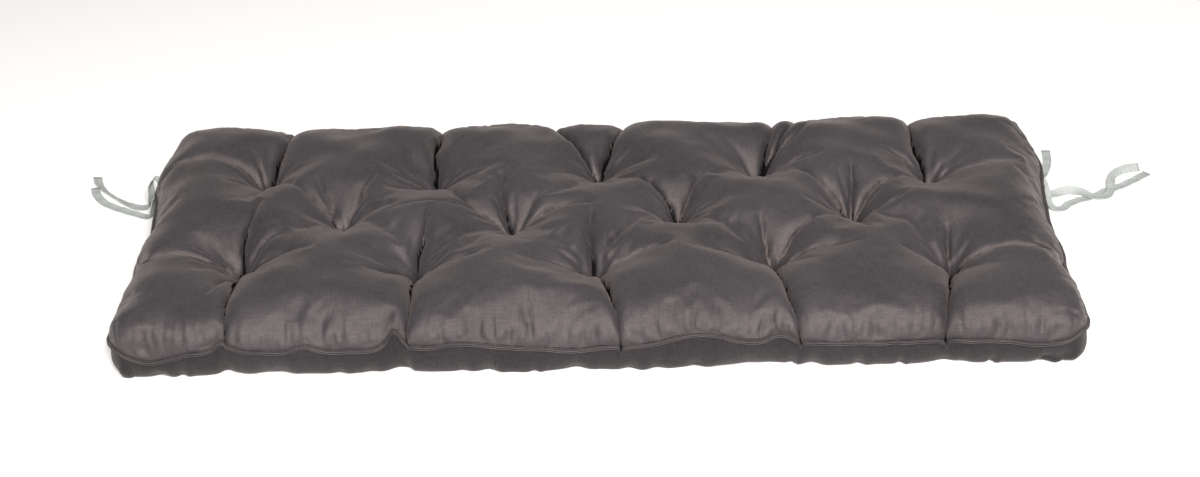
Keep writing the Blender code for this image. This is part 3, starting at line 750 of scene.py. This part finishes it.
def makeWeaveGroup():
    # fine crossed threads with slubs: a 0 to 1 value for the grain and a height for the bump
    group = bpy.data.node_groups.new("satinWeave", "ShaderNodeTree")
    group.interface.new_socket("Place", in_out="INPUT", socket_type="NodeSocketVector")
    group.interface.new_socket("Grain", in_out="OUTPUT", socket_type="NodeSocketFloat")
    group.interface.new_socket("Height", in_out="OUTPUT", socket_type="NodeSocketFloat")
    start = group.nodes.new("NodeGroupInput")
    end = group.nodes.new("NodeGroupOutput")
    place = (start, "Place")
    across, along = 1 / satin["slubWidth"], 1 / satin["slubLength"]
    weft = addNoise(group, place, (along, across, 1), 2.0)
    warp = addNoise(group, place, (across, along, 1), 2.0)
    speck = addNoise(group, place, (1 / satin["grain"],) * 3, 3.0, 0.65)
    slubs = addMath(group, "ADD", (weft, "Fac"), (warp, "Fac"))
    specks = addMath(group, "MULTIPLY", (speck, "Fac"), 2.6)
    mixed = addMath(group, "ADD", (slubs, "Value"), (specks, "Value"))
    grain = addMath(group, "DIVIDE", (mixed, "Value"), 4.6)   # back to 0 to 1
    split = group.nodes.new("ShaderNodeSeparateXYZ")
    link(group, start, "Place", split, "Vector")
    turns = 2 * math.pi / satin["threadPitch"]
    threadX = addMath(group, "SINE", (addMath(group, "MULTIPLY", (split, "X"), turns), "Value"), 0)
    threadY = addMath(group, "SINE", (addMath(group, "MULTIPLY", (split, "Y"), turns), "Value"), 0)
    threads = addMath(group, "MULTIPLY", (threadX, "Value"), (threadY, "Value"))
    fine = addMath(group, "MULTIPLY", (threads, "Value"), 0.12)
    height = addMath(group, "ADD", (grain, "Value"), (fine, "Value"))
    link(group, grain, "Value", end, "Grain")
    link(group, height, "Value", end, "Height")
    return group


def addRange(tree, source, fromRange, toRange):
    node = tree.nodes.new("ShaderNodeMapRange")
    link(tree, source[0], source[1], node, "Value")
    node.inputs["From Min"].default_value, node.inputs["From Max"].default_value = fromRange
    node.inputs["To Min"].default_value, node.inputs["To Max"].default_value = toRange
    return node


def assignClothShades(cushion, closed, cloths):
    # the bottom panel, from the seam down, takes a darker, less glossy copy of the cloth as painted
    # shade, and closed folds take the darkest copy, painted shade in the clefts
    for cloth in cloths:
        cushion.data.materials.append(cloth)
    under = getPlan(cushion)[2]
    for face in cushion.data.polygons:
        corners = list(face.vertices)
        face.material_index = int(np.mean(under[corners]) > 0.25)
        if np.mean(closed[corners]) > clefts["darkShare"]:
            face.material_index = 2


def startCloth(name, weave, strength, distance):
    # a material with the weave's bump, which follows the piece's own threads
    cloth = bpy.data.materials.new(name)
    cloth.use_nodes = True
    tree = cloth.node_tree
    shader = tree.nodes["Principled BSDF"]
    place = tree.nodes.new("ShaderNodeAttribute")
    place.attribute_name = "weave"
    threads = tree.nodes.new("ShaderNodeGroup")
    threads.node_tree = weave
    link(tree, place, "Vector", threads, "Place")
    relief = tree.nodes.new("ShaderNodeBump")
    relief.inputs["Strength"].default_value = strength
    relief.inputs["Distance"].default_value = distance
    link(tree, threads, "Height", relief, "Height")
    link(tree, relief, "Normal", shader, "Normal")
    return cloth, tree, shader, place, threads


def addTones(tree, source, first, second):
    # two colours mixed by the source
    tones = tree.nodes.new("ShaderNodeMix")
    tones.data_type = "RGBA"
    tones.inputs[6].default_value = (*first, 1)
    tones.inputs[7].default_value = (*second, 1)
    link(tree, source[0], source[1], tones, 0)
    return tones


def makeCloth(name, weave):
    share, specular, sheen = clothAndShadedCopies[name]
    cloth, tree, shader, place, threads = startCloth(name, weave, *satin["bump"])
    patches = addNoise(tree, (place, "Vector"), (1 / satin["patch"],) * 3, 3.0)
    grainShare = addRange(tree, (threads, "Grain"), satin["grainRange"], (0.0, 1.0))
    patchShare = addRange(tree, (patches, "Fac"), (0.30, 0.70), (-0.2, 0.2))
    mixed = addMath(tree, "ADD", (grainShare, "Result"), (patchShare, "Result"))
    mixed.use_clamp = True
    # the side and fold copies scale these tones down: painted shade
    shadowTone = [value * share for value in satin["shadowTone"]]
    litTone = [value * share for value in satin["litTone"]]
    tone = addTones(tree, (mixed, "Value"), shadowTone, litTone)
    # painted shade: the colour is darkened toward the shade tone in clefts, tuft pits and the welt's
    # groove
    closed = tree.nodes.new("ShaderNodeAttribute")
    closed.attribute_name = "paintedShade"
    dark = addTones(tree, (closed, "Fac"), litTone, satin["paintedShadeTone"])
    link(tree, tone, 2, dark, 6)
    link(tree, dark, 2, shader, "Base Color")
    rough = addRange(tree, (threads, "Grain"), satin["grainRange"], satin["roughness"])
    link(tree, rough, "Result", shader, "Roughness")
    shader.inputs["Specular IOR Level"].default_value = specular
    shader.inputs["Specular Tint"].default_value = satin["glossTint"]
    shader.inputs["Sheen Weight"].default_value = sheen
    shader.inputs["Sheen Roughness"].default_value = satin["sheenRoughness"]
    shader.inputs["Sheen Tint"].default_value = satin["sheenTint"]
    return cloth


# Tapes: CAD node, and the route's points as x, y, z and lean in degrees
ties = {
    "tie_left_a": (
        (-0.6065, 0.1500, 0.0500, 0),
        (-0.6110, 0.1510, 0.0560, 0),
        (-0.6165, 0.1520, 0.0560, 0),
        (-0.6205, 0.1530, 0.0480, 0),
        (-0.6225, 0.1540, 0.0360, 0),
        (-0.6240, 0.1550, 0.0240, 0),
        (-0.6270, 0.1570, 0.0130, 0),
        (-0.6350, 0.1600, 0.0050, 0),
        (-0.6470, 0.1635, 0.0030, 0),
        (-0.6600, 0.1700, 0.0032, 12),
        (-0.6740, 0.1795, 0.0045, 32),
        (-0.6880, 0.1915, 0.0052, 42),
        (-0.7010, 0.2045, 0.0052, 42),
        (-0.7120, 0.2190, 0.0050, 34),
        (-0.7190, 0.2330, 0.0042, 20),
        (-0.7240, 0.2480, 0.0040, 14),
    ),
    "tie_left_b": (
        (-0.6065, 0.1260, 0.0450, 0),
        (-0.6110, 0.1270, 0.0400, 0),
        (-0.6145, 0.1285, 0.0300, 0),
        (-0.6170, 0.1300, 0.0190, 0),
        (-0.6210, 0.1330, 0.0090, 0),
        (-0.6290, 0.1380, 0.0024, 0),
        (-0.6400, 0.1445, 0.0009, 0),
        (-0.6530, 0.1510, 0.0009, 0),
        (-0.6660, 0.1580, 0.0009, 0),
        (-0.6790, 0.1655, 0.0009, 0),
        (-0.6910, 0.1735, 0.0009, 0),
        (-0.7020, 0.1835, 0.0009, 0),
        (-0.7110, 0.1955, 0.0009, 0),
        (-0.7180, 0.2090, 0.0009, 0),
        (-0.7215, 0.2220, 0.0009, 0),
    ),
    "tie_right_a": (
        (0.6065, 0.1280, 0.0440, 0),
        (0.6110, 0.1255, 0.0380, 0),
        (0.6145, 0.1230, 0.0280, 0),
        (0.6170, 0.1205, 0.0170, 0),
        (0.6210, 0.1175, 0.0075, 0),
        (0.6290, 0.1150, 0.0018, 0),
        (0.6400, 0.1200, 0.0009, 0),
        (0.6490, 0.1300, 0.0009, 0),
        (0.6620, 0.1380, 0.0009, 0),
        (0.6770, 0.1440, 0.0009, 0),
        (0.6910, 0.1510, 0.0009, 0),
        (0.7040, 0.1610, 0.0009, 0),
        (0.7180, 0.1680, 0.0009, 0),
        (0.7330, 0.1770, 0.0009, 0),
        (0.7480, 0.1880, 0.0009, 0),
        (0.7620, 0.1990, 0.0009, 0),
        (0.7740, 0.2090, 0.0009, 0),
    ),
    "tie_right_b": (
        (0.6065, 0.1530, 0.0440, 0),
        (0.6110, 0.1520, 0.0380, 0),
        (0.6145, 0.1505, 0.0280, 0),
        (0.6175, 0.1495, 0.0170, 0),
        (0.6215, 0.1490, 0.0080, 0),
        (0.6300, 0.1510, 0.0040, 10),
        (0.6420, 0.1560, 0.0052, 36),
        (0.6560, 0.1590, 0.0056, 40),
        (0.6700, 0.1560, 0.0046, 14),
        (0.6820, 0.1470, 0.0032, 0),
        (0.6950, 0.1430, 0.0032, 0),
        (0.7065, 0.1490, 0.0032, 0),
        (0.7130, 0.1630, 0.0034, 0),
        (0.7165, 0.1800, 0.0056, 24),
        (0.7235, 0.1960, 0.0066, 56),
        (0.7360, 0.2080, 0.0068, 72),
        (0.7510, 0.2150, 0.0064, 60),
        (0.7640, 0.2190, 0.0050, 36),
    ),
    "tie_back_right": (
        (0.6065, 0.1850, 0.0430, 0),
        (0.6110, 0.1865, 0.0370, 0),
        (0.6145, 0.1885, 0.0270, 0),
        (0.6170, 0.1915, 0.0160, 0),
        (0.6205, 0.1965, 0.0070, 0),
        (0.6260, 0.2060, 0.0016, 0),
        (0.6320, 0.2190, 0.0009, 0),
        (0.6370, 0.2330, 0.0009, 0),
        (0.6410, 0.2480, 0.0009, 0),
        (0.6430, 0.2630, 0.0009, 0),
        (0.6440, 0.2780, 0.0009, 0),
    ),
}
tape = {
    "width": 0.012,
    "thickness": 0.0010,
    "step": 0.004,
    "waver": 0.0004,
    "shadowTone": (0.26, 0.29, 0.285),
    "litTone": (0.46, 0.49, 0.48),
    "roughness": 0.6,
    "bump": (0.4, 0.0004),
}


def smoothRoute(rows, step):
    # an even-stepped smooth curve through a tape's points, with its length
    points = np.array(rows, float)
    padded = np.vstack([2 * points[0] - points[1], points, 2 * points[-1] - points[-2]])
    share = np.linspace(0, 1, 8, endpoint=False)[:, None]
    line = []
    for a, b, c, d in zip(padded, padded[1:], padded[2:], padded[3:]):
        cubic = (3 * b - a - 3 * c + d) * share**3
        line.append(0.5 * (2 * b + (c - a) * share + (2 * a - 5 * b + 4 * c - d) * share**2 + cubic))
    line = np.vstack([*line, points[-1:]])
    run = np.concatenate([[0.0], np.cumsum(np.linalg.norm(np.diff(line[:, :3], axis=0), axis=1))])
    stops = np.linspace(0, run[-1], round(run[-1] / step) + 1)
    return np.stack([np.interp(stops, run, line[:, k]) for k in range(4)], axis=1), run[-1]


def meshPiece(name, rings, closed):
    # skin over rings of points, capped where the line is open
    mesh = bmesh.new()
    loops = [[mesh.verts.new(point) for point in ring] for ring in rings]
    pairs = list(zip(loops, loops[1:])) + ([(loops[-1], loops[0])] if closed else [])
    for near, far in pairs:
        for k in range(len(near)):
            after = (k + 1) % len(near)
            mesh.faces.new((near[k], near[after], far[after], far[k]))
    if not closed:
        mesh.faces.new(loops[0][::-1])
        mesh.faces.new(loops[-1])
    bmesh.ops.recalc_face_normals(mesh, faces=mesh.faces[:])
    data = bpy.data.meshes.new(name)
    mesh.to_mesh(data)
    mesh.free()
    piece = bpy.data.objects.new(name, data)
    scene.collection.objects.link(piece)
    return piece


def buildTie(node, rows, finish):
    # a flat woven tape swept along its route, its two edges a little thicker
    route, length = smoothRoute(rows, tape["step"])
    forward = np.gradient(route[:, :3], axis=0)
    forward /= np.linalg.norm(forward, axis=1, keepdims=True)
    level = np.cross([0.0, 0.0, 1.0], forward)
    level /= np.linalg.norm(level, axis=1, keepdims=True)
    upright = np.cross(forward, level)
    half = tape["thickness"] / 2
    profile = [(-1, -1.0), (-0.86, -0.9), (-0.8, -0.6), (0, -0.6), (0.8, -0.6), (0.86, -0.9), (1, -1.0)]
    profile = profile + [(wide, -thick) for wide, thick in profile[::-1]]
    rings, weaves = [], []
    for k, (point, across, up, lean) in enumerate(zip(route[:, :3], level, upright, route[:, 3])):
        angle = math.radians(lean)
        wide = across * math.cos(angle) + up * math.sin(angle)
        thick = up * math.cos(angle) - across * math.sin(angle)
        lift = tape["waver"] * (1 + math.sin(k * 1.1))
        rings.append([point + wide * a * tape["width"] / 2 + thick * b * half + up * lift
                      for a, b in profile])
        weaves += [(k * tape["step"], a * tape["width"] / 2, 0.0) for a, _ in profile]
    piece = meshPiece("tape_" + node, rings, False)
    addVectors(piece, "weave", weaves)
    piece.data.shade_smooth()
    piece.data.materials.append(finish)
    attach(piece, "root")
    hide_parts(node)
    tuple(rows[0][:3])
    [tuple(p) for p in route[:, :3]]
    print(node, "tape", round(length, 3), "m")


welt = {
    "stand": 0.0046,        # how far it stands out of the seam
    "lip": 0.0019,
    "groove": 0.0010,
    "kink": 0.0012,
    "kinkSpacing": (5, 15),
}


def buildWelt(cushion, finish):
    # the seam allowances stand out of the seam as two lips, all the way round
    x, y, _ = getPlan(cushion)
    onSeam = np.flatnonzero(seamDistance(x, y) < 1e-5)
    around = np.arctan2(y[onSeam] / body["halfDepth"], x[onSeam] / body["halfLength"])
    seam = getPoints(cushion)[onSeam[np.argsort(around)]]
    ahead = np.roll(seam, -2, axis=0)[:, :2] - np.roll(seam, 2, axis=0)[:, :2]
    ahead /= np.linalg.norm(ahead, axis=1, keepdims=True)
    out = np.stack([ahead[:, 1], -ahead[:, 0], np.zeros(len(ahead))], axis=1)
    stand, lip, groove = welt["stand"], welt["lip"], welt["groove"]
    half = [
        (0.0, lip * 0.75),
        (stand * 0.55, lip),
        (stand * 0.85, lip * 0.98),
        (stand, lip * 0.80),
        (stand * 0.98, groove * 0.75),
        (stand * 0.86, groove * 0.5),
        (stand * 0.30, groove * 0.30),
    ]
    section = [(a, -b) for a, b in half] + half[::-1]
    # the edge runs in short, uneven, nearly straight stretches
    stops = [0]
    while stops[-1] < len(seam) - welt["kinkSpacing"][1]:
        stops.append(stops[-1] + random.integers(*welt["kinkSpacing"]))
    heights = random.uniform(-1, 1, len(stops)) * welt["kink"]
    waves = np.interp(np.arange(len(seam)), [*stops, len(seam)], [*heights, heights[0]])
    rings = []
    for point, step, wave in zip(seam, out, waves):
        rings.append([point + step * a + np.array([0, 0, b + wave * a / stand]) for a, b in section])
    piece = meshPiece("seamWelt", rings, True)
    # the groove between the lips is marked for painted shade in the cloth's colour
    shadedGroove = [float(a < stand * 0.9 and abs(b) < lip * 0.4) for a, b in section]
    addValues(piece, "paintedShade", np.tile(shadedGroove, len(seam)))
    run = np.repeat(np.arange(len(seam)) * body["cell"] / 2, len(section))
    height = np.tile([b for _, b in section], len(seam))
    addVectors(piece, "weave", np.stack([run, height, run * 0], axis=1))
    piece.data.shade_smooth()
    piece.data.materials.append(finish)
    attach(piece, "root")
    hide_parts("seam_welt")
    print("welt sewn on,", len(seam), "steps")


def makeTapeCloth(weave):
    cloth, tree, shader, _, threads = startCloth("tapeCloth", weave, *tape["bump"])
    share = addRange(tree, (threads, "Grain"), satin["grainRange"], (0.0, 1.0))
    tone = addTones(tree, (share, "Result"), tape["shadowTone"], tape["litTone"])
    link(tree, tone, 2, shader, "Base Color")
    shader.inputs["Roughness"].default_value = tape["roughness"]
    return cloth


studio = {"floorSize": 14, "floorTone": (0.94, 0.94, 0.94, 1), "floorRoughness": 0.9, "ambient": 0.20}
# Softboxes, all aimed at the middle of the floor: place, size, power, colour
softboxes = {
    "frontBox": ((0.35, -2.9, 2.5), (1.6, 0.8), 290, (1.0, 0.95, 0.91)),
    "topBox": ((0.3, 0.8, 3.2), (3.0, 2.0), 16, (0.92, 0.97, 1.0)),
}


def buildStage():
    bpy.ops.mesh.primitive_plane_add(size=studio["floorSize"])
    floor = bpy.context.object
    floor.name = "floor"
    paint = bpy.data.materials.new("floorPaint")
    paint.use_nodes = True
    shader = paint.node_tree.nodes["Principled BSDF"]
    shader.inputs["Base Color"].default_value = studio["floorTone"]
    shader.inputs["Roughness"].default_value = studio["floorRoughness"]
    floor.data.materials.append(paint)


def addSoftbox(name, place, size, power, colour):
    bpy.ops.object.light_add(type="AREA", location=place)
    lamp = bpy.context.object
    lamp.name = name
    lamp.data.shape = "RECTANGLE"
    lamp.data.size, lamp.data.size_y = size
    lamp.data.energy = power
    lamp.data.color = colour
    lamp.rotation_euler = (-Vector(place)).to_track_quat("-Z", "Y").to_euler()


def buildLights():
    for name, row in softboxes.items():
        addSoftbox(name, *row)
    world = bpy.data.worlds.new("studio")
    scene.world = world
    world.use_nodes = True
    sky = world.node_tree.nodes["Background"]
    sky.inputs["Color"].default_value = (1.0, 1.0, 1.0, 1)
    sky.inputs["Strength"].default_value = studio["ambient"]


view = {
    "place": (0.05, -2.157, 1.404),
    "down": 32.29,          # degrees under level
    "turn": 1.24,
    "roll": -1.72,
    "lens": 58.1,
    "film": 36,
}


def buildCamera():
    bpy.ops.object.camera_add()
    camera = bpy.context.object
    camera.data.lens = view["lens"]
    camera.data.sensor_width = view["film"]
    turned = Matrix.Rotation(math.radians(view["turn"]), 4, "Z")
    tipped = Matrix.Rotation(math.radians(90 - view["down"]), 4, "X")
    rolled = Matrix.Rotation(math.radians(view["roll"]), 4, "Z")
    camera.matrix_world = Matrix.Translation(view["place"]) @ turned @ tipped @ rolled
    scene.camera = camera


buildCamera()
buildLights()
buildStage()
print("stage set")
cushion = sewPanels(*layPanels())
closed = addDetail(cushion)
weave = makeWeaveGroup()
cloths = [makeCloth(name, weave) for name in clothAndShadedCopies]
assignClothShades(cushion, closed, cloths)
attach(cushion, "root")
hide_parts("cushion")
buildWelt(cushion, cloths[0])
tapeCloth = makeTapeCloth(weave)
for node, rows in ties.items():
    buildTie(node, rows, tapeCloth)
